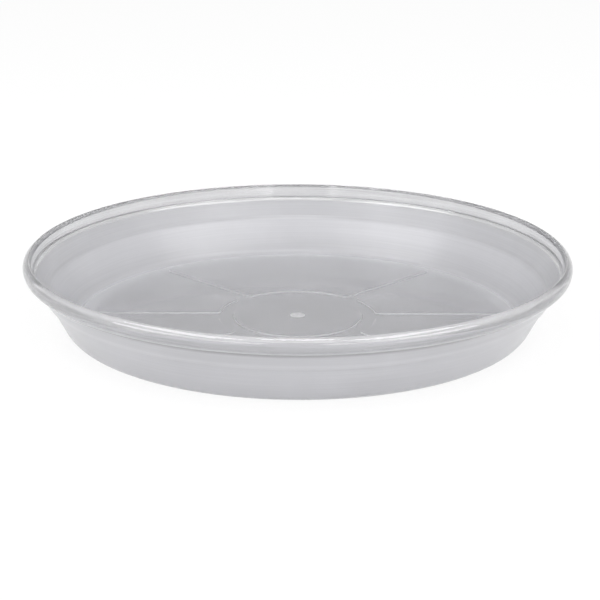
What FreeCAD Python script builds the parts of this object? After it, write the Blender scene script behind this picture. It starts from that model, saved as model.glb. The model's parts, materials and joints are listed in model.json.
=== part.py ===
"""Round plant saucer, moulded in one piece from clear plastic.

Lengths are in millimetres and angles in degrees.  +Z is up, and the origin is the centre of the base,
on the surface that the saucer stands on.
"""
import FreeCAD, Part
import math
import os

from FreeCAD import Vector

# The whole saucer
rim_diameter = 280.0
total_height = 37.9         # to the sharp edge of the rim
wall = 1.5                  # thickness of the side
sheet = 1.5                 # thickness of the floor in its channels

# The thick glassy band at the top
band_height = 7.9           # from its flat underside to its top edge
band_curve = 4.6            # radius of its bulging outside
band_edge_inset = 3.3       # the top edge lies this far in from the widest circle
band_inside_angle = 16.5    # its inside leans out from upright by this much
crease_width = 0.6          # small slope where the band meets the wall inside
crease_drop = 0.6

# The side, from the band down to the base
upper_wall_angle = 31.5     # from upright
lower_wall_angle = 18.7     # from upright
ledge_width = 2.1           # sloping ledge inside, between the upper and the lower wall
ledge_drop = 1.8
lower_wall_height = 19.5    # the outside steps in below this height

# Where the side meets the base
base_round = 9.3            # outside, and one wall less inside
floor_round_steps = 3       # the round inside is drawn in this many straight steps

# Raised pads on the floor, with channels between them
pad_rise = 0.6
channel_width = 7.7         # of the straight channels
hub_diameter = 66.4         # round pad in the middle
hub_channel_width = 7.7     # ring channel round it
rim_channel_width = 7.4     # ring channel between the pads and the foot of the wall
channel_angles = (0.0, 45.0, 135.0, 180.0, 225.0, 315.0)
pad_corner_round = 1.6      # seen from above

# Low dome in the middle, the mark that moulding leaves
dome_diameter = 8.0
dome_rise = 0.7

# Two edges or heights this close are the same
nearness = 0.0001


def lean(angle, height):
    """How far a slope at this angle from upright moves sideways over a height."""
    return height * math.tan(math.radians(angle))


def slant(angle):
    """Level width of the wall where it leans at this angle."""
    return wall / math.cos(math.radians(angle))


# Radii and heights of the turned outline, from the rim inwards and down
rim_radius = rim_diameter / 2
band_centre_radius = rim_radius - band_curve
band_edge_radius = rim_radius - band_edge_inset
band_centre_height = total_height - math.sqrt(band_curve ** 2 - (band_curve - band_edge_inset) ** 2)
band_foot_height = total_height - band_height
band_foot_depth = band_centre_height - band_foot_height
band_foot_radius = band_centre_radius + math.sqrt(band_curve ** 2 - band_foot_depth ** 2)

crease_top_radius = band_edge_radius - lean(band_inside_angle, band_height)
crease_foot_radius = crease_top_radius - crease_width
crease_foot_height = band_foot_height - crease_drop
upper_wall_root_radius = crease_foot_radius + lean(upper_wall_angle, crease_drop) + slant(upper_wall_angle)

ledge_foot_height = lower_wall_height
ledge_top_height = ledge_foot_height + ledge_drop
ledge_top_radius = crease_foot_radius - lean(upper_wall_angle, crease_foot_height - ledge_top_height)
ledge_foot_radius = ledge_top_radius - ledge_width
step_edge_radius = upper_wall_root_radius - lean(upper_wall_angle, band_foot_height - lower_wall_height)
lower_wall_radius = ledge_foot_radius + slant(lower_wall_angle)
base_corner_radius = lower_wall_radius - lean(lower_wall_angle, lower_wall_height)
floor_corner_radius = ledge_foot_radius - lean(lower_wall_angle, ledge_foot_height - sheet)
floor_round = base_round - wall

# The flat of the floor ends where the round at the foot of the wall begins
floor_flat_radius = floor_corner_radius - floor_round * math.tan(math.radians(45 - lower_wall_angle / 2))

hub_radius = hub_diameter / 2
pad_inner_radius = hub_radius + hub_channel_width
pad_outer_radius = floor_flat_radius - rim_channel_width
pad_top = sheet + pad_rise


def at(radius, height):
    """Point of the turned outline."""
    return Vector(radius, 0, height)


def chain(points):
    """Straight edges from each point to the next."""
    return [Part.LineSegment(a, b).toShape() for a, b in zip(points, points[1:])]


def floor_round_points():
    """Points down the inside round, from the lower wall to the flat of the floor."""
    sweep = math.radians(90 - lower_wall_angle)
    turns = [sweep * step / floor_round_steps for step in range(floor_round_steps, -1, -1)]
    radii = [floor_flat_radius + floor_round * math.sin(turn) for turn in turns]
    heights = [sheet + floor_round * (1 - math.cos(turn)) for turn in turns]
    return [at(radius, height) for radius, height in zip(radii, heights)]


def circle_edges(shape, radius, height):
    """The edges of a turned shape that are circles of this radius at this height."""
    circles = [edge for edge in shape.Edges if isinstance(edge.Curve, Part.Circle)]
    level = [edge for edge in circles if abs(edge.Curve.Center.z - height) < nearness]
    return [edge for edge in level if abs(edge.Curve.Radius - radius) < nearness]


def turned_bowl():
    """Base, side and rim as one solid, turned about the middle."""
    outside = [
        at(0, 0),
        at(base_corner_radius, 0),
        at(lower_wall_radius, lower_wall_height),
        at(step_edge_radius, lower_wall_height),
        at(upper_wall_root_radius, band_foot_height),
        at(band_foot_radius, band_foot_height),
    ]
    bulge = Part.Arc(
        at(band_foot_radius, band_foot_height),
        at(rim_radius, band_centre_height),
        at(band_edge_radius, total_height),
    )
    inside = [
        at(band_edge_radius, total_height),
        at(crease_top_radius, band_foot_height),
        at(crease_foot_radius, crease_foot_height),
        at(ledge_top_radius, ledge_top_height),
        at(ledge_foot_radius, ledge_foot_height),
    ]
    middle = [at(0, sheet), at(0, 0)]
    edges = chain(outside) + [bulge.toShape()] + chain(inside + floor_round_points() + middle)
    bowl = Part.Face(Part.Wire(edges)).revolve(Vector(0, 0, 0), Vector(0, 0, 1), 360)
    return bowl.makeFillet(base_round, circle_edges(bowl, base_corner_radius, 0))


def disc(radius, low, high):
    """Upright cylinder about the middle, between two heights."""
    return Part.makeCylinder(radius, high - low, Vector(0, 0, low))


def channel_bar(angle, low, high):
    """Straight bar from the middle out past the pads, as wide as a channel."""
    bar = Part.makeBox(rim_radius, channel_width, high - low, Vector(0, -channel_width / 2, low))
    bar.rotate(Vector(0, 0, 0), Vector(0, 0, 1), angle)
    return bar


def with_round_corners(pad):
    """A pad whose upright corner edges are rounded."""
    height = pad.BoundBox.ZLength
    upright = [edge for edge in pad.Edges if abs(edge.BoundBox.ZLength - height) < nearness]
    return pad.makeFillet(pad_corner_round, upright)


def pads():
    """The raised pads and the round one in the middle, sunk halfway into the floor to join it."""
    low = sheet / 2
    ring = disc(pad_outer_radius, low, pad_top).cut(disc(pad_inner_radius, low, pad_top))
    around = ring.cut([channel_bar(angle, low, pad_top) for angle in channel_angles]).Solids
    return [with_round_corners(pad) for pad in around] + [disc(hub_radius, low, pad_top)]


def dome():
    """Low dome in the middle of the floor, where the mould was filled."""
    foot = dome_diameter / 2
    ball = (foot ** 2 + dome_rise ** 2) / (dome_rise + dome_rise)
    top = pad_top + dome_rise
    return Part.makeSphere(ball, Vector(0, 0, top - ball)).common(disc(foot, sheet, top))


def saucer():
    """The whole moulding."""
    return turned_bowl().fuse(pads() + [dome()]).removeSplitter().Solids[0]


os.makedirs("parts", exist_ok=True)
moulding = saucer()
moulding.exportStep("parts/saucer.step")
print("saucer: volume", round(moulding.Volume), "mm3, base", round(base_corner_radius * 2, 1), "mm across")
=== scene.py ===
"""Looks of the clear plastic plant saucer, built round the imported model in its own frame."""

import json
import logging
import math
from collections.abc import Callable
from dataclasses import dataclass
from enum import Enum

import bpy
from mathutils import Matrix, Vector

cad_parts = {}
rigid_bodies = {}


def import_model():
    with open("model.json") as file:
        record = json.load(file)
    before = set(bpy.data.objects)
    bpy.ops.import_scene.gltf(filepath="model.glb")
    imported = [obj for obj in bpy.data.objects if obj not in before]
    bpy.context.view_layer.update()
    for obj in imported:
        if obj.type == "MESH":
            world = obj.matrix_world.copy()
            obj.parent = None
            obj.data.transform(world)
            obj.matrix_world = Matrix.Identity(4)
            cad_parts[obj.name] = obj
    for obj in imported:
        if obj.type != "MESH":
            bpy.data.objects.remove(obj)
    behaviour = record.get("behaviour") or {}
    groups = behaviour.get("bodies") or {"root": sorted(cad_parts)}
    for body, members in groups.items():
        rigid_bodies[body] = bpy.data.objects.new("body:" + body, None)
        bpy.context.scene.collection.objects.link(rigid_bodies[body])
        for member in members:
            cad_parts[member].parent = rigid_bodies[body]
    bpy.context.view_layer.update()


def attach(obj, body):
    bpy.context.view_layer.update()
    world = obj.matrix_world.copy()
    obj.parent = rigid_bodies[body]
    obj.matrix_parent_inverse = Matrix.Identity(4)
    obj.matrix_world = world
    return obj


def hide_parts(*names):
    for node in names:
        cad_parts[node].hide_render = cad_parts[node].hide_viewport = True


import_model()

log = logging.getLogger("plant_saucer")

Node = bpy.types.Node
Socket = bpy.types.NodeSocket

MM = 0.001

# Corners this close coincide, and a corner this close to a line lies on it
NEAR = 0.001 * MM

# A corner this close to a height is at that height
LEVEL_NEAR = 0.01 * MM

WHITE = (1, 1, 1, 1)
PLASTIC_IOR = 1.5

# Nearly all that a noise pattern gives lies between these values
NOISE_LOW = 0.3
NOISE_HIGH = 0.7

# Finer layers in each noise pattern of a finish
CLOUD_DETAIL = 3
MARK_DETAIL = 2
WEAR_DETAIL = 4
GRAIN_DETAIL = 2

# Turning marks run round the middle, and change this many times in a radian
MARK_CHANGES = 2.0

# How much the roughness varies, as a share of it, and the width of the patches it varies in
WEAR = 0.1
WEAR_SIZE = 12 * MM


class Element(Enum):
    """What an edit-mode selection is made of."""

    VERTEX = "VERT"
    EDGE = "EDGE"
    FACE = "FACE"


class Zone(Enum):
    """A part of the surface with a finish of its own, some with painted light or shade, numbered as its material
    slot.
    """

    OUTSIDE = 0
    INSIDE = 1
    CREASE = 2
    RIM = 3
    FLOOR = 4
    PAD_EDGE = 5
    GATE = 6


@dataclass(frozen=True)
class Point:
    """A point of a turned outline.

    Args:
        radius: distance from the middle, in metres.
        height: height above the ground, in metres.
        round: radius of the arc that replaces a sharp corner here, in metres.
        steps: number of straight steps in that arc.
    """

    radius: float
    height: float
    round: float = 0.0
    steps: int = 4

    def toward(self, other: "Point") -> Vector:
        """Unit vector from this point to another."""
        return Vector((other.radius - self.radius, other.height - self.height)).normalized()

    def away(self, other: "Point") -> float:
        """Distance to another point."""
        return math.hypot(other.radius - self.radius, other.height - self.height)


def arc_points(centre: Point, radius: float, start: float, end: float, steps: int) -> list[Point]:
    """Points along an arc of a turned outline.

    Args:
        centre: middle of the arc.
        radius: its radius, in metres.
        start: angle of its first point, in degrees from the outward level direction.
        end: angle of its last point, in the same way.
        steps: number of straight steps.

    Returns:
        The points, both ends included.
    """
    turns = [math.radians(start + (end - start) * i / steps) for i in range(steps + 1)]
    return [Point(centre.radius + radius * math.cos(t), centre.height + radius * math.sin(t)) for t in turns]


def rounded(outline: list[Point]) -> list[Point]:
    """Replaces each corner of an open outline that has a round by an arc.

    Args:
        outline: the points, where points between two corners may follow a curve.

    Returns:
        The outline with arcs in place of those corners.
    """
    result = [outline[0]]
    for before, corner, after in zip(outline, outline[1:], outline[2:]):
        if not corner.round:
            result.append(corner)
            continue
        back, ahead = corner.toward(before), corner.toward(after)
        half = back.angle(ahead) / 2
        reach = corner.round / math.tan(half)
        # The points of a curve that the arc takes the place of
        while len(result) > 1 and corner.away(result[-1]) < reach:
            result.pop()
        here = Vector((corner.radius, corner.height))
        first, last = here + back * reach, here + ahead * reach
        middle = here + (back + ahead).normalized() * (corner.round / math.sin(half))
        spoke = first - middle
        sweep = spoke.angle_signed(last - middle)
        for step in range(corner.steps + 1):
            turn = -sweep * step / corner.steps
            x = spoke.x * math.cos(turn) - spoke.y * math.sin(turn)
            y = spoke.x * math.sin(turn) + spoke.y * math.cos(turn)
            result.append(Point(middle.x + x, middle.y + y))
    result.append(outline[-1])
    return result


def deselect_all() -> None:
    """Deselects every object, so that the next operator acts on nothing but what is chosen for it."""
    for thing in bpy.context.view_layer.objects:
        thing.select_set(False)


def select_only(piece: bpy.types.Object) -> None:
    """Selects a piece and nothing else, and makes it the active one.

    Args:
        piece: the piece that the next operator acts on.
    """
    deselect_all()
    piece.select_set(True)
    bpy.context.view_layer.objects.active = piece


def close_edit() -> None:
    """Leaves edit mode."""
    bpy.ops.object.mode_set(mode="OBJECT")


def close_solid() -> None:
    """Turns the faces of the closed solid in edit mode outwards, and leaves edit mode."""
    bpy.ops.mesh.select_all(action="SELECT")
    bpy.ops.mesh.normals_make_consistent(inside=False)
    close_edit()


def choose(piece: bpy.types.Object, element: Element, wanted: Callable[[Vector], bool]) -> None:
    """Selects the corners of a piece in edit mode that are wanted, or the edges between two such corners.

    Args:
        piece: the piece being edited.
        element: what to select, corners or edges.
        wanted: says whether a corner at this place belongs.
    """
    bpy.ops.mesh.select_mode(type=element.value)
    bpy.ops.mesh.select_all(action="DESELECT")
    bpy.ops.object.mode_set(mode="OBJECT")
    mesh = piece.data
    good = [wanted(vertex.co) for vertex in mesh.vertices]
    if element is Element.VERTEX:
        mesh.vertices.foreach_set("select", good)
    else:
        mesh.edges.foreach_set("select", [all(good[i] for i in edge.vertices) for edge in mesh.edges])
    bpy.ops.object.mode_set(mode="EDIT")


def turned(name: str, outline: list[Point], around: int) -> bpy.types.Object:
    """Makes a closed solid by drawing a flat disc out along an outline, ring by ring.

    Args:
        name: name of the new object.
        outline: points from the edge of the flat underside to the edge of the last flat face.
        around: number of corners in each ring.

    Returns:
        The new object, at the origin.
    """
    deselect_all()
    start = outline[0]
    bpy.ops.mesh.primitive_circle_add(
        vertices=around, radius=start.radius, fill_type="NGON", location=(0, 0, 0), enter_editmode=True
    )
    piece = bpy.context.object
    piece.name = piece.data.name = name
    bpy.ops.transform.translate(value=(0, 0, start.height))
    for here, there in zip(outline, outline[1:]):
        grow = there.radius / here.radius
        bpy.ops.mesh.extrude_region_move(TRANSFORM_OT_translate={"value": (0, 0, there.height - here.height)})
        bpy.ops.transform.resize(value=(grow, grow, 1), center_override=(0, 0, there.height))
    close_solid()
    return piece


def fuse(body: bpy.types.Object, other: bpy.types.Object) -> None:
    """Joins another solid to a body and deletes it.

    Args:
        body: the solid that stays.
        other: the solid that is used up.
    """
    select_only(body)
    modifier = body.modifiers.new("fuse", "BOOLEAN")
    modifier.operation = "UNION"
    modifier.solver = "EXACT"
    modifier.object = other
    bpy.ops.object.modifier_apply(modifier=modifier.name)
    bpy.data.objects.remove(other, do_unlink=True)


@dataclass(frozen=True)
class Nodes:
    """The nodes of one material or of the world.

    Args:
        tree: the node tree that they are in.
    """

    tree: bpy.types.NodeTree

    def existing(self, name: str) -> Node:
        """The node of this name that the tree starts with."""
        return self.tree.nodes[name]

    def link(self, value: Socket, into: Socket) -> None:
        """Feeds a value into a socket."""
        self.tree.links.new(value, into)

    def add(self, kind: str, operation: str = "") -> Node:
        """Adds a node.

        Args:
            kind: its type, in Blender's words.
            operation: what it does, for a node that can do several things.

        Returns:
            The node.
        """
        node = self.tree.nodes.new(kind)
        if operation:
            node.operation = operation
        return node

    def vector(self, operation: str, *values: Socket) -> Node:
        """Adds a step of vector maths.

        Args:
            operation: what it does, in Blender's words.
            values: sockets with its first inputs, in order.

        Returns:
            The node.
        """
        node = self.add("ShaderNodeVectorMath", operation)
        for value, into in zip(values, node.inputs):
            self.link(value, into)
        return node

    def number(self, operation: str, value: Socket, other: Socket | float) -> Socket:
        """Adds a step of maths with two numbers.

        Args:
            operation: what it does, in Blender's words.
            value: socket with the first number.
            other: socket with the second number, or that number.

        Returns:
            The socket with the result.
        """
        node = self.add("ShaderNodeMath", operation)
        self.link(value, node.inputs[0])
        if isinstance(other, float):
            node.inputs[1].default_value = other
        else:
            self.link(other, node.inputs[1])
        return node.outputs[0]

    def ranged(
        self, value: Socket, low: float, high: float, start: float, end: float, smooth: bool = False
    ) -> Socket:
        """Maps a value from one range to another.

        Args:
            value: socket with the value.
            low: value that gives start.
            high: value that gives end.
            start: first result.
            end: last result.
            smooth: whether it leaves the ends of the range gently.

        Returns:
            The socket with the result.
        """
        mapped = self.add("ShaderNodeMapRange")
        mapped.interpolation_type = "SMOOTHSTEP" if smooth else "LINEAR"
        for name, number in (("From Min", low), ("From Max", high), ("To Min", start), ("To Max", end)):
            mapped.inputs[name].default_value = number
        self.link(value, mapped.inputs["Value"])
        return mapped.outputs["Result"]

    def noise(self, place: Socket, size: float, detail: float) -> Socket:
        """Adds a noise pattern.

        Args:
            place: socket with the place to read it at.
            size: width of its patches, in the units of that place.
            detail: number of finer layers.

        Returns:
            The socket with its value, from 0 to 1.
        """
        noise = self.add("ShaderNodeTexNoise")
        noise.inputs["Scale"].default_value = 1 / size
        noise.inputs["Detail"].default_value = detail
        self.link(place, noise.inputs["Vector"])
        return noise.outputs["Fac"]

    def varied(self, noise: Socket, middle: float, spread: float) -> Socket:
        """Makes a value that varies with a noise pattern.

        Args:
            noise: socket with the pattern.
            middle: the value that it varies about.
            spread: how far it goes either way, as a share of that value.

        Returns:
            The socket with the value.
        """
        return self.ranged(noise, NOISE_LOW, NOISE_HIGH, middle * (1 - spread), middle * (1 + spread))

    def bump(self, height: Socket, depth: float, under: Socket | None = None) -> Socket:
        """Adds unevenness of the surface.

        Args:
            height: socket with the height, from 0 to 1.
            depth: what a height of 1 stands for, in metres.
            under: socket with the normal of another unevenness that this one lies on.

        Returns:
            The socket with the normal.
        """
        bump = self.add("ShaderNodeBump")
        bump.inputs["Distance"].default_value = depth
        self.link(height, bump.inputs["Height"])
        if under is not None:
            self.link(under, bump.inputs["Normal"])
        return bump.outputs["Normal"]


@dataclass(frozen=True)
class ClearPlastic:
    """Clear moulded plastic.

    Args:
        name: name of the material.
        tint: colour that light keeps as it passes through.
        roughness: how far the surface spreads what is seen through it.
        haze: share of the surface that is milky.
        coat: share of the sharp gloss that lies over it.
        coat_roughness: roughness of that gloss.
        clouding: how much the tint varies from place to place, as a share of it.
        cloud_size: width of the patches it varies in, in metres.
        streaks: how much the tint varies between the fine turning marks of the mould, as a share of it.
        streak_pitch: distance between those marks, in metres.
        ripple: depth of those marks, in metres.
        grain: depth of the fine unevenness of the surface, in metres.
        grain_size: width of its grains, in metres.
        painted_light_stops: painted light and shade, as shares of the tint at some distances from the origin, each
            given as distance in metres and share.
    """

    name: str
    tint: tuple[float, float, float]
    roughness: float
    haze: float
    coat: float = 0.5
    coat_roughness: float = 0.1
    clouding: float = 0.03
    cloud_size: float = 35 * MM
    streaks: float = 0.02
    streak_pitch: float = 0.5 * MM
    ripple: float = 0.0
    grain: float = 0.004 * MM
    grain_size: float = 0.5 * MM
    painted_light_stops: tuple[tuple[float, float], ...] = ()

    def material(self) -> bpy.types.Material:
        """Builds the node material.

        Returns:
            The material.
        """
        material = bpy.data.materials.new(self.name)
        material.use_nodes = True
        nodes = Nodes(material.node_tree)
        shader = nodes.existing("Principled BSDF")
        shader.inputs["IOR"].default_value = PLASTIC_IOR
        shader.inputs["Transmission Weight"].default_value = 1 - self.haze
        shader.inputs["Coat Weight"].default_value = self.coat
        shader.inputs["Coat Roughness"].default_value = self.coat_roughness

        place = nodes.add("ShaderNodeTexCoord").outputs["Object"]
        clouds = nodes.varied(nodes.noise(place, self.cloud_size, CLOUD_DETAIL), 1, self.clouding)
        marks = nodes.noise(self.along_marks(nodes, place), 1, MARK_DETAIL)
        share = nodes.number("MULTIPLY", clouds, nodes.varied(marks, 1, self.streaks))
        # Light and shade painted into the tint by distance from the origin
        if self.painted_light_stops:
            share = nodes.number("MULTIPLY", share, self.shade(nodes, place))
        colour = nodes.vector("SCALE")
        colour.inputs[0].default_value = self.tint
        nodes.link(share, colour.inputs["Scale"])
        nodes.link(colour.outputs["Vector"], shader.inputs["Base Color"])

        wear = nodes.noise(place, WEAR_SIZE, WEAR_DETAIL)
        nodes.link(nodes.varied(wear, self.roughness, WEAR), shader.inputs["Roughness"])
        normal = nodes.bump(nodes.noise(place, self.grain_size, GRAIN_DETAIL), self.grain)
        if self.ripple:
            normal = nodes.bump(marks, self.ripple, normal)
        nodes.link(normal, shader.inputs["Normal"])
        return material

    def shade(self, nodes: Nodes, place: Socket) -> Socket:
        """Gives the share of the tint by distance from the origin, which paints light and shade on the surface.

        Args:
            nodes: the nodes of the material.
            place: socket with the place.

        Returns:
            The socket with the share.
        """
        first, last = self.painted_light_stops[0][0], self.painted_light_stops[-1][0]
        ramp = nodes.add("ShaderNodeValToRGB")
        stops = ramp.color_ramp.elements
        for i, (where, share) in enumerate(self.painted_light_stops):
            position = (where - first) / (last - first)
            # A new ramp has two stops
            stop = stops[i] if i < 2 else stops.new(position)
            stop.position = position
            stop.color = (share, share, share, 1)
        distance = nodes.vector("LENGTH", place).outputs["Value"]
        nodes.link(nodes.ranged(distance, first, last, 0, 1), ramp.inputs["Fac"])
        return ramp.outputs["Color"]

    def along_marks(self, nodes: Nodes, place: Socket) -> Socket:
        """Turns a place into one that changes slowly round the middle and fast across the turning marks.

        Args:
            nodes: the nodes of the material.
            place: socket with the place.

        Returns:
            The socket with the new place.
        """
        axes = nodes.add("ShaderNodeSeparateXYZ")
        nodes.link(place, axes.inputs["Vector"])
        level = nodes.add("ShaderNodeCombineXYZ")
        nodes.link(axes.outputs["X"], level.inputs["X"])
        nodes.link(axes.outputs["Y"], level.inputs["Y"])
        radius = nodes.vector("LENGTH", level.outputs["Vector"]).outputs["Value"]
        direction = nodes.vector("NORMALIZE", level.outputs["Vector"]).outputs["Vector"]
        around = nodes.vector("SCALE", direction)
        around.inputs["Scale"].default_value = MARK_CHANGES
        across = nodes.number("ADD", radius, axes.outputs["Z"])
        upright = nodes.add("ShaderNodeCombineXYZ")
        nodes.link(nodes.number("MULTIPLY", across, 1 / self.streak_pitch), upright.inputs["Z"])
        return nodes.vector("ADD", around.outputs["Vector"], upright.outputs["Vector"]).outputs["Vector"]


FINISHES: dict[Zone, ClearPlastic] = {
    Zone.OUTSIDE: ClearPlastic(
        "satin_outside", tint=(0.81, 0.81, 0.84), roughness=0.34, haze=0.6, coat_roughness=0.2,
        streaks=0.025, streak_pitch=0.9 * MM, ripple=0.006 * MM,
        # Painted highlight just above the outside step, and a painted shadow line right under the rim band
        painted_light_stops=(
            (128 * MM, 1.0), (129.3 * MM, 1.0), (129.9 * MM, 1.06), (132.4 * MM, 1.06),
            (133.6 * MM, 0.97), (136.6 * MM, 0.97), (137.8 * MM, 0.62), (140 * MM, 0.5),
        ),
    ),
    # The same plastic as outside, as its own copy so that the inside takes its own painted light and shade
    Zone.INSIDE: ClearPlastic(
        "satin_inside", tint=(0.81, 0.81, 0.84), roughness=0.34, haze=0.6, coat_roughness=0.2,
        streaks=0.03, streak_pitch=1.2 * MM, ripple=0.01 * MM,
        # A painted light line at the floor's edge, painted shade on the round at the foot of the wall and on the
        # upper wall, and a lighter lower wall
        painted_light_stops=(
            (115 * MM, 1.06), (116.3 * MM, 0.84), (118.5 * MM, 0.84), (121.5 * MM, 0.91),
            (124.5 * MM, 0.97), (127.5 * MM, 0.99), (129.5 * MM, 0.84), (134 * MM, 0.87),
        ),
    ),
    # A milky, bright crease that paints the lamps' glint along the foot of the band
    Zone.CREASE: ClearPlastic(
        "crease_painted_glint", tint=(0.95, 0.95, 0.96), roughness=0.1, haze=0.47, coat=1.0, coat_roughness=0.05,
    ),
    Zone.RIM: ClearPlastic(
        "glassy_rim", tint=(0.88, 0.88, 0.90), roughness=0.05, haze=0.2, coat=0.25, coat_roughness=0.05,
        clouding=0.02, streaks=0.12, streak_pitch=1.0 * MM, ripple=0.04 * MM, grain=0.002 * MM,
        # Painted shade on the inside of the band and on its crest, painted light on the middle of its outside
        painted_light_stops=(
            (137 * MM, 0.8), (141.2 * MM, 0.8), (141.9 * MM, 0.83), (142.6 * MM, 0.89),
            (143.6 * MM, 1.06), (144.2 * MM, 1.06),
        ),
    ),
    # A darker tint than the side, which paints the shadow on the ground under the saucer seen through the floor;
    # its shares paint the wall's reflection as light near the wall
    Zone.FLOOR: ClearPlastic(
        "satin_floor", tint=(0.605, 0.605, 0.63), roughness=0.2, haze=0.15,
        painted_light_stops=((92 * MM, 1.0), (105 * MM, 1.1), (110 * MM, 1.28), (114 * MM, 1.32)),
    ),
    # Milky and lighter, which paints the lamps' glints as light lines along the pads' edges
    Zone.PAD_EDGE: ClearPlastic(
        "pad_edge", tint=(0.72, 0.72, 0.75), roughness=0.36, haze=0.85, coat=0.25, coat_roughness=0.3,
    ),
    Zone.GATE: ClearPlastic(
        "frosted_gate", tint=(0.75, 0.75, 0.77), roughness=0.4, haze=0.7, coat=0.6, coat_roughness=0.2,
        clouding=0.2, cloud_size=2 * MM, grain=0.15 * MM, grain_size=1.2 * MM,
    ),
}


@dataclass
class Saucer:
    """The one moulding: floor, side and rim band, with raised pads on the floor.

    Lengths are in metres and angles in degrees, and those of the large forms are the solid model's. Only the lower
    wall differs: it leans further out here, as the photograph shows, with smaller rounds at its foot, and so starts
    up to 2.3 mm further in there.

    Args:
        rim_radius: of the widest circle, on the rim band.
        total_height: up to the sharp edge of the rim band.
        wall: thickness of the side.
        sheet: thickness of the floor in its channels.
        band_height: of the rim band, from its flat underside to its top edge.
        band_curve: radius of its bulging outside.
        band_edge_inset: how far in from the widest circle its top edge lies.
        band_inside_angle: how far its inside leans out from upright.
        crease_width: of the small slope inside where the band meets the wall.
        crease_drop: height of that slope.
        crease_reach: how far up the inside of the band the painted glint of that slope goes.
        upper_wall_angle: lean of the upper wall from upright.
        lower_wall_angle: lean of the lower wall from upright.
        ledge_width: of the sloping ledge inside, between the upper and the lower wall.
        ledge_drop: height of that ledge.
        lower_wall_height: where the ledge ends inside and the outside steps in.
        base_round: round outside at the foot of the lower wall.
        floor_round: round inside at the foot of the lower wall.
        step_root_round: round where the lower wall meets the step outside.
        step_edge_round: round on the edge of that step.
        band_root_round: round outside where the upper wall meets the underside of the band.
        band_foot_round: round on the lower edge of the band.
        crest_round: round on the top edge of the band.
        crease_round: round where the inside of the band meets the crease.
        crease_foot_round: round where the crease meets the upper wall.
        ledge_round: rounds above and below the ledge.
        pad_rise: height of the pads above the channels.
        channel_width: of the straight channels.
        hub_radius: of the round pad in the middle.
        hub_channel_width: of the ring channel round it.
        rim_channel_width: of the ring channel between the pads and the foot of the wall.
        pad_corner_round: round of the pads' corners, seen from above.
        pad_edge_round: width of the rounds along the pads' top edges and feet.
        dome_radius: of the low dome in the middle, where the mould was filled.
        dome_rise: height of the dome above the pad.
        dome_end: how far up its ball the dome is drawn, before a small flat closes it.
        dome_foot_round: round where the dome meets the pad.
        pads: for each span of pad, the angles from X at which such pads start.
        around: number of corners in a ring of the bowl and of the middle pad.
        pad_around: the same for the pads round it.
        bulge_steps: number of straight steps in the outside of the band.
        foot_steps: number of steps in each round at the foot of the lower wall.
        dome_steps: number of steps in the dome.
        pad_corner_steps: number of steps in a pad's corner.
        pad_edge_steps: number of steps in a round along a pad's edge.
        straight: corners of a flat pad that turn less than this are taken out.
        steep: edges are softened where their faces meet at more than this.
        pad_margin: how far past the pads their edges are looked for.
        dome_margin: how far outside the dome their edges are looked for.
        smooth_angle: edges that turn less than this are shaded smooth.
        flat_weight: how strongly large faces keep their own direction, where 50 is even.
        level_slope: upward share of the direction of a face below which it counts as a pad's edge.
    """

    rim_radius: float = 140.0 * MM
    total_height: float = 37.9 * MM
    wall: float = 1.5 * MM
    sheet: float = 1.5 * MM

    band_height: float = 7.9 * MM
    band_curve: float = 4.6 * MM
    band_edge_inset: float = 3.3 * MM
    band_inside_angle: float = 16.5
    crease_width: float = 0.6 * MM
    crease_drop: float = 0.6 * MM
    crease_reach: float = 0.7 * MM
    upper_wall_angle: float = 31.5
    lower_wall_angle: float = 27.0
    ledge_width: float = 2.1 * MM
    ledge_drop: float = 1.8 * MM
    lower_wall_height: float = 19.5 * MM

    base_round: float = 8.0 * MM
    floor_round: float = 4.1 * MM
    step_root_round: float = 0.25 * MM
    step_edge_round: float = 0.3 * MM
    band_root_round: float = 0.4 * MM
    band_foot_round: float = 0.3 * MM
    crest_round: float = 0.6 * MM
    crease_round: float = 0.5 * MM
    crease_foot_round: float = 5.0 * MM
    ledge_round: float = 0.9 * MM

    pad_rise: float = 0.6 * MM
    channel_width: float = 7.7 * MM
    hub_radius: float = 33.2 * MM
    hub_channel_width: float = 7.7 * MM
    rim_channel_width: float = 7.4 * MM
    pad_corner_round: float = 1.6 * MM
    pad_edge_round: float = 0.28 * MM
    dome_radius: float = 4.0 * MM
    dome_rise: float = 0.7 * MM
    dome_end: float = 88.0
    dome_foot_round: float = 0.8 * MM
    pads: tuple[tuple[float, tuple[float, ...]], ...] = (
        (45.0, (0.0, 135.0, 180.0, 315.0)),
        (90.0, (45.0, 225.0)),
    )

    around: int = 288
    pad_around: int = 144
    bulge_steps: int = 24
    foot_steps: int = 12
    dome_steps: int = 10
    pad_corner_steps: int = 5
    pad_edge_steps: int = 3
    straight: float = 1.0
    steep: float = 60.0
    pad_margin: float = 0.5 * MM
    dome_margin: float = 4.0 * MM
    smooth_angle: float = 35.0
    flat_weight: int = 80
    level_slope: float = 0.95

    def lean(self, angle: float, height: float) -> float:
        """How far a slope at this angle from upright moves sideways over a height."""
        return height * math.tan(math.radians(angle))

    def slant(self, angle: float) -> float:
        """Level width of the wall where it leans at this angle."""
        return self.wall / math.cos(math.radians(angle))

    def outline(self) -> list[Point]:
        """The turned outline, from the edge of the underside out, up, over and down to the flat of the floor.

        Returns:
            The points with all rounds drawn.
        """
        top, curve = self.total_height, self.band_curve
        centre_radius = self.rim_radius - curve
        edge_radius = self.rim_radius - self.band_edge_inset
        centre_height = top - math.sqrt(curve ** 2 - (curve - self.band_edge_inset) ** 2)
        foot = top - self.band_height
        foot_angle = -math.degrees(math.asin((centre_height - foot) / curve))
        edge_angle = math.degrees(math.acos((edge_radius - centre_radius) / curve))
        bulge = arc_points(Point(centre_radius, centre_height), curve, foot_angle, edge_angle, self.bulge_steps)
        band_foot, crest = bulge[0], bulge[-1]

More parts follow.
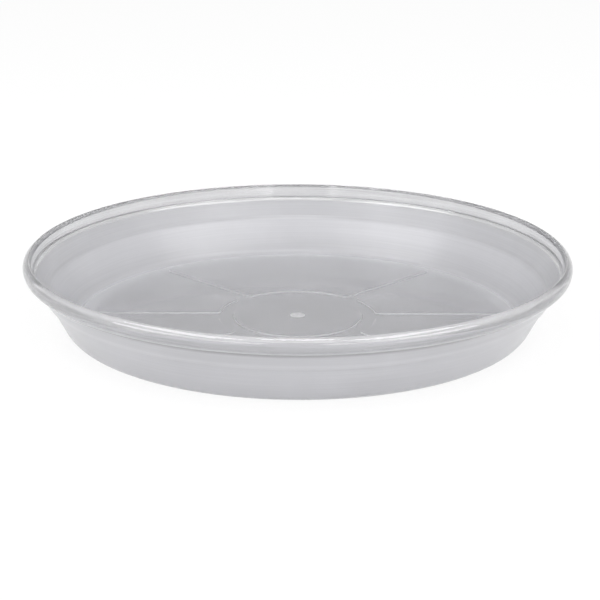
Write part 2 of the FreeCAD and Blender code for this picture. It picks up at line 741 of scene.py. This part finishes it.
        crease_foot = self.crease_foot()
        crease_top = crease_foot + self.crease_width
        crease_side = crease_top + self.lean(self.band_inside_angle, self.crease_reach)
        root = crease_foot + self.lean(self.upper_wall_angle, self.crease_drop) + self.slant(self.upper_wall_angle)
        low = self.lower_wall_height
        ledge_foot = self.ledge_foot()
        step_edge = root - self.lean(self.upper_wall_angle, foot - low)
        lower_wall = ledge_foot + self.slant(self.lower_wall_angle)
        base_corner = lower_wall - self.lean(self.lower_wall_angle, low)

        return rounded([
            Point(self.pad_outer(), 0),
            Point(base_corner, 0, self.base_round, self.foot_steps),
            Point(lower_wall, low, self.step_root_round, steps=3),
            Point(step_edge, low, self.step_edge_round),
            Point(root, foot, self.band_root_round),
            Point(band_foot.radius, band_foot.height, self.band_foot_round),
            *bulge[1:-1],
            Point(crest.radius, crest.height, self.crest_round, steps=6),
            Point(crease_side, foot + self.crease_reach),
            Point(crease_top, foot, self.crease_round),
            Point(crease_foot, foot - self.crease_drop, self.crease_foot_round, steps=6),
            Point(ledge_foot + self.ledge_width, low + self.ledge_drop, self.ledge_round, steps=5),
            Point(ledge_foot, low, self.ledge_round, steps=5),
            Point(self.floor_corner(), self.sheet, self.floor_round, self.foot_steps),
            Point(self.pad_outer() + self.rim_channel_width / 2, self.sheet),
        ])

    def crease_foot(self) -> float:
        """Radius where the crease under the band meets the upper wall inside."""
        edge = self.rim_radius - self.band_edge_inset
        return edge - self.lean(self.band_inside_angle, self.band_height) - self.crease_width

    def ledge_foot(self) -> float:
        """Radius where the ledge meets the lower wall inside."""
        drop = self.total_height - self.band_height - self.crease_drop - self.lower_wall_height - self.ledge_drop
        return self.crease_foot() - self.lean(self.upper_wall_angle, drop) - self.ledge_width

    def floor_corner(self) -> float:
        """Radius where the lower wall and the floor would meet inside without their round."""
        return self.ledge_foot() - self.lean(self.lower_wall_angle, self.lower_wall_height - self.sheet)

    def floor_flat(self) -> float:
        """Radius where the flat of the floor ends and the round at the foot of the wall begins."""
        corner = math.radians(45 - self.lower_wall_angle / 2)
        return self.floor_corner() - self.floor_round * math.tan(corner)

    def pad_outer(self) -> float:
        """Outer radius of the pads."""
        return self.floor_flat() - self.rim_channel_width

    def bowl(self) -> bpy.types.Object:
        """Turns floor, side and rim as one solid."""
        return turned("saucer_looks", self.outline(), self.around)

    def pad(self, span: float) -> bpy.types.Object:
        """Models one pad between two straight channels, the first of which runs along X.

        Args:
            span: angle between the two channels, in degrees.

        Returns:
            The pad as a closed solid that starts inside the floor.
        """
        top = self.sheet + self.pad_rise
        share = (self.hub_radius + self.hub_channel_width) / self.pad_outer()

        # A flat ring at the height of the pads' tops
        deselect_all()
        bpy.ops.mesh.primitive_circle_add(
            vertices=self.pad_around, radius=self.pad_outer(), fill_type="NOTHING", location=(0, 0, 0),
            enter_editmode=True
        )
        pad = bpy.context.object
        bpy.ops.transform.translate(value=(0, 0, top))
        bpy.ops.mesh.extrude_edges_move()
        bpy.ops.transform.resize(value=(share, share, 1), center_override=(0, 0, top))

        # What lies between the two channels stays, as one face with rounded corners
        end, half = math.radians(span), self.channel_width / 2
        normals = (Vector((0, 1, 0)), Vector((math.sin(end), -math.cos(end), 0)))
        for normal in normals:
            bpy.ops.mesh.select_all(action="SELECT")
            edge = normal * half + Vector((0, 0, top))
            bpy.ops.mesh.bisect(plane_co=edge, plane_no=normal, clear_inner=True, clear_outer=False)
        bpy.ops.mesh.select_all(action="SELECT")
        bpy.ops.mesh.dissolve_limited(angle_limit=math.radians(self.straight))
        choose(pad, Element.VERTEX, lambda corner: any(abs(corner.dot(n) - half) < NEAR for n in normals))
        bpy.ops.mesh.bevel(
            offset=self.pad_corner_round, segments=self.pad_corner_steps, affect="VERTICES", profile=0.5
        )

        # Down into the floor
        bpy.ops.mesh.select_mode(type=Element.FACE.value)
        bpy.ops.mesh.select_all(action="SELECT")
        bpy.ops.mesh.extrude_region_move(TRANSFORM_OT_translate={"value": (0, 0, -top + self.sheet / 2)})
        close_solid()
        return pad

    def hub(self) -> bpy.types.Object:
        """Turns the round pad in the middle, with the low dome on it.

        Returns:
            The pad as a closed solid that starts inside the floor.
        """
        top = self.sheet + self.pad_rise
        ball = (self.dome_radius ** 2 + self.dome_rise ** 2) / (2 * self.dome_rise)
        slope = math.degrees(math.acos(self.dome_radius / ball))
        centre = Point(0, top + self.dome_rise - ball)
        foot, *dome = arc_points(centre, ball, slope, self.dome_end, self.dome_steps)
        outline = rounded([
            Point(self.hub_radius, self.sheet / 2),
            Point(self.hub_radius, top),
            Point(foot.radius, foot.height, self.dome_foot_round),
            *dome,
        ])
        return turned("hub", outline, self.around)

    def copy_turned(self, piece: bpy.types.Object, angle: float) -> bpy.types.Object:
        """Copies a piece with its own mesh and turns the copy about the middle.

        Args:
            piece: the piece to copy.
            angle: turn in degrees.

        Returns:
            The copy.
        """
        copy = piece.copy()
        copy.data = piece.data.copy()
        bpy.context.collection.objects.link(copy)
        select_only(copy)
        copy.rotation_euler[2] = math.radians(angle)
        bpy.ops.object.transform_apply(location=True, rotation=True, scale=True)
        return copy

    def build(self) -> bpy.types.Object:
        """Makes the whole moulding.

        Returns:
            The piece with its finishes on.
        """
        body = self.bowl()
        raised = [self.hub()]
        for span, starts in self.pads:
            model = self.pad(span)
            raised += [self.copy_turned(model, start) for start in starts]
            bpy.data.objects.remove(model, do_unlink=True)
        select_only(raised[0])
        for piece in raised:
            piece.select_set(True)
        bpy.ops.object.join()
        fuse(body, raised[0])
        self.soften_pads(body)
        self.smooth(body)
        self.dress(body)
        return body

    def soften_pads(self, body: bpy.types.Object) -> None:
        """Rounds the top edges of the pads and fills the corners at their feet.

        Args:
            body: the moulding.
        """
        select_only(body)
        bpy.ops.object.mode_set(mode="EDIT")
        for height in (self.sheet + self.pad_rise, self.sheet):
            choose(body, Element.EDGE, lambda corner: self.on_pad_edge(corner, height))
            count = self.keep_steep_edges(body)
            log.info("softening %d edges at %.2f mm", count, height / MM)
            bpy.ops.mesh.bevel(
                offset=self.pad_edge_round, segments=self.pad_edge_steps, affect="EDGES", profile=0.5
            )
        bpy.ops.mesh.select_mode(type=Element.VERTEX.value)
        bpy.ops.mesh.select_all(action="SELECT")
        bpy.ops.mesh.remove_doubles(threshold=NEAR)
        close_edit()

    def on_pad_edge(self, corner: Vector, height: float) -> bool:
        """Tells whether a corner may lie on a pad's edge.

        Args:
            corner: its place.
            height: height of the edges that are looked for, in metres.

        Returns:
            Whether it is at that height, and as far from the middle as the pads' edges are.
        """
        middle = math.hypot(corner.x, corner.y)
        in_reach = self.dome_radius + self.dome_margin < middle < self.pad_outer() + self.pad_margin
        return abs(corner.z - height) < LEVEL_NEAR and in_reach

    def keep_steep_edges(self, body: bpy.types.Object) -> int:
        """Deselects the chosen edges whose two faces are nearly level with each other.

        Args:
            body: the moulding, in edit mode.

        Returns:
            The number of edges that stay selected.
        """
        bpy.ops.object.mode_set(mode="OBJECT")
        mesh = body.data
        sides: dict[tuple[int, int], list[Vector]] = {}
        for face in mesh.polygons:
            for key in face.edge_keys:
                sides.setdefault(key, []).append(face.normal)
        mesh.vertices.foreach_set("select", [False] * len(mesh.vertices))
        mesh.polygons.foreach_set("select", [False] * len(mesh.polygons))
        count = 0
        for edge in mesh.edges:
            if edge.select:
                faces = sides[edge.key]
                edge.select = len(faces) == 2 and faces[0].angle(faces[1]) > math.radians(self.steep)
                count += edge.select
            if edge.select:
                for corner in edge.vertices:
                    mesh.vertices[corner].select = True
        bpy.ops.object.mode_set(mode="EDIT")
        bpy.ops.mesh.select_mode(type=Element.EDGE.value)
        return count

    def smooth(self, body: bpy.types.Object) -> None:
        """Shades the moulding smooth, with flat faces kept flat.

        Args:
            body: the moulding.
        """
        select_only(body)
        bpy.ops.object.shade_smooth_by_angle(angle=math.radians(self.smooth_angle))
        modifier = body.modifiers.new("flat faces", "WEIGHTED_NORMAL")
        modifier.keep_sharp = True
        modifier.weight = self.flat_weight
        bpy.ops.object.modifier_apply(modifier=modifier.name)

    def zone(self, face: bpy.types.MeshPolygon) -> Zone:
        """Finds which finish a face takes.

        Args:
            face: a face of the moulding.

        Returns:
            Its zone.
        """
        place = face.center
        middle = math.hypot(place.x, place.y)
        inside = place.x * face.normal.x + place.y * face.normal.y < 0
        foot = self.total_height - self.band_height
        # The crease and the pads' edges take finishes with painted glints
        if inside and abs(place.z - foot) < self.crease_reach + self.crease_drop / 2:
            return Zone.CREASE
        if place.z > foot - self.crease_drop / 2:
            return Zone.RIM
        if middle > self.floor_flat():
            return Zone.INSIDE if inside else Zone.OUTSIDE
        if place.z > self.sheet + self.pad_rise and middle < self.dome_radius:
            return Zone.GATE
        if place.z > self.sheet and face.normal.z < self.level_slope:
            return Zone.PAD_EDGE
        return Zone.FLOOR

    def dress(self, body: bpy.types.Object) -> None:
        """Gives each zone of the moulding its finish, some of which paint light and shade.

        Args:
            body: the moulding.
        """
        body.data.materials.clear()
        for zone in Zone:
            body.data.materials.append(FINISHES[zone].material())
        for face in body.data.polygons:
            face.material_index = self.zone(face).value


@dataclass(frozen=True)
class Softbox:
    """A wide rectangular lamp that faces the object.

    Args:
        name: name of the lamp.
        turn: where it stands, in degrees round the object from the camera's side towards the right.
        height: angle above the floor of its middle, in degrees.
        distance: from the middle of the object to the middle of the lamp, in metres.
        size: its width and height, in metres.
        brightness: how bright its face is, where 1 is white.
    """

    name: str
    turn: float
    height: float
    distance: float
    size: tuple[float, float]
    brightness: float

    def hang(self) -> None:
        """Adds the lamp to the scene."""
        data = bpy.data.lights.new(self.name, "AREA")
        data.shape = "RECTANGLE"
        data.size, data.size_y = self.size
        # A face of brightness 1 gives off pi watts a square metre
        data.energy = self.brightness * math.pi * self.size[0] * self.size[1]
        lamp = bpy.data.objects.new(self.name, data)
        bpy.context.collection.objects.link(lamp)
        turn, height = math.radians(self.turn), math.radians(self.height)
        level = math.cos(height)
        place = Vector((math.sin(turn) * level, -math.cos(turn) * level, math.sin(height)))
        lamp.location = place * self.distance
        lamp.rotation_euler = (-place).to_track_quat("-Z", "Y").to_euler()
        lamp.visible_camera = False


@dataclass
class Studio:
    """Floor, backdrop, lights and camera.

    Args:
        view_elevation: angle of the camera above the floor, in degrees.
        view_distance: from the camera to the middle of the underside, in metres.
        view_roll: turn of the camera about its line of sight, in radians.
        lens: its focal length, in millimetres.
        sensor: width of its sensor, in millimetres.
        nearest: shortest distance that it sees, in metres.
        shift: how far its frame is moved right and up, as shares of its width.
        ground_size: side of the floor, in metres.
        ground_gap: how far the floor lies below the saucer, so that their faces don't coincide, in metres.
        ground_colour: grey of the floor for the light that it throws on the object.
        ground_shadow: its grey where it is seen, which keeps a faint shadow.
        ground_glow: what it shines with where it is seen, which makes it white.
        backdrop_level: brightness of the backdrop at the horizon, where 1 is white.
        backdrop_top: its brightness high up.
        backdrop_height: how high up it gets that dark, where the top is 1.
        lamps: the lamps.
    """

    view_elevation: float = 18.7152
    view_distance: float = 0.859531
    view_roll: float = 0.0043227
    lens: float = 98.9275
    sensor: float = 36.0
    nearest: float = 0.01
    shift: tuple[float, float] = (0.00411, 0.03148)
    ground_size: float = 12.0
    ground_gap: float = 0.05 * MM
    ground_colour: float = 0.8
    ground_shadow: float = 0.15
    ground_glow: float = 0.88
    backdrop_level: float = 1.0
    backdrop_top: float = 0.38
    backdrop_height: float = 0.45
    lamps: tuple[Softbox, ...] = (
        Softbox("left_top", turn=-72.0, height=60.0, distance=1.6, size=(1.1, 0.45), brightness=3.3),
        Softbox("right_top", turn=68.0, height=60.0, distance=1.6, size=(1.1, 0.45), brightness=3.3),
        Softbox("left_fill", turn=-47.0, height=31.0, distance=1.6, size=(1.8, 0.42), brightness=2.6),
        Softbox("right_fill", turn=44.0, height=31.0, distance=1.6, size=(1.8, 0.42), brightness=2.6),
        Softbox("overhead", turn=0.0, height=81.0, distance=1.6, size=(0.5, 0.4), brightness=4.0),
    )

    def camera(self) -> None:
        """Places the camera at the photograph's viewing angle."""
        data = bpy.data.cameras.new("camera")
        data.lens = self.lens
        data.sensor_width = self.sensor
        data.shift_x, data.shift_y = self.shift
        data.clip_start = self.nearest
        rig = bpy.data.objects.new("camera", data)
        bpy.context.collection.objects.link(rig)
        slope = math.radians(self.view_elevation)
        rig.location = (0, -self.view_distance * math.cos(slope), self.view_distance * math.sin(slope))
        rig.rotation_euler = (math.pi / 2 - slope, 0, 0)
        rig.rotation_euler.rotate_axis("Z", self.view_roll)
        bpy.context.scene.camera = rig

    def seen(self, nodes: Nodes) -> Socket:
        """Tells rays that show a surface from rays that only light it.

        Args:
            nodes: the nodes of the surface's material.

        Returns:
            A socket that is 1 for what the camera sees directly, in gloss or through plastic, and 0 otherwise.
        """
        path = nodes.add("ShaderNodeLightPath")
        total = path.outputs["Is Camera Ray"]
        for kind in ("Is Glossy Ray", "Is Transmission Ray"):
            total = nodes.number("MAXIMUM", total, path.outputs[kind])
        return total

    def pale_ground(self) -> bpy.types.Material:
        """Builds the pale floor: it lights the object as a real one does, and shows white with a faint shadow.

        Returns:
            The material.
        """
        material = bpy.data.materials.new("pale_ground")
        material.use_nodes = True
        nodes = Nodes(material.node_tree)
        shader = nodes.existing("Principled BSDF")
        shader.inputs["Roughness"].default_value = 1
        shader.inputs["Specular IOR Level"].default_value = 0
        shader.inputs["Emission Color"].default_value = WHITE
        seen = self.seen(nodes)
        nodes.link(nodes.ranged(seen, 0, 1, self.ground_colour, self.ground_shadow), shader.inputs["Base Color"])
        nodes.link(nodes.number("MULTIPLY", seen, self.ground_glow), shader.inputs["Emission Strength"])
        return material

    def ground(self) -> None:
        """Lays the floor."""
        deselect_all()
        bpy.ops.mesh.primitive_plane_add(size=self.ground_size, location=(0, 0, -self.ground_gap))
        floor = bpy.context.object
        floor.name = "ground"
        floor.data.materials.append(self.pale_ground())

    def world(self) -> None:
        """Makes a backdrop that is white at the horizon and darker towards the top."""
        world = bpy.data.worlds.new("studio")
        bpy.context.scene.world = world
        world.use_nodes = True
        nodes = Nodes(world.node_tree)
        background = nodes.existing("Background")
        background.inputs["Color"].default_value = WHITE
        direction = nodes.add("ShaderNodeSeparateXYZ")
        nodes.link(nodes.add("ShaderNodeTexCoord").outputs["Generated"], direction.inputs["Vector"])
        level = nodes.ranged(
            direction.outputs["Z"], 0, self.backdrop_height, self.backdrop_level, self.backdrop_top, smooth=True
        )
        nodes.link(level, background.inputs["Strength"])

    def build(self) -> None:
        """Sets up the whole studio."""
        bpy.context.scene.view_settings.view_transform = "Standard"
        self.camera()
        self.ground()
        self.world()
        for lamp in self.lamps:
            lamp.hang()


def main() -> None:
    """Builds the studio and the saucer, puts the saucer in place of the imported model, and logs its number of
    faces.
    """
    logging.basicConfig(level=logging.INFO)
    Studio().build()
    saucer = Saucer().build()
    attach(saucer, "root")
    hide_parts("saucer")
    log.info("%s: %d faces", saucer.name, len(saucer.data.polygons))


if __name__ == "__main__":
    main()
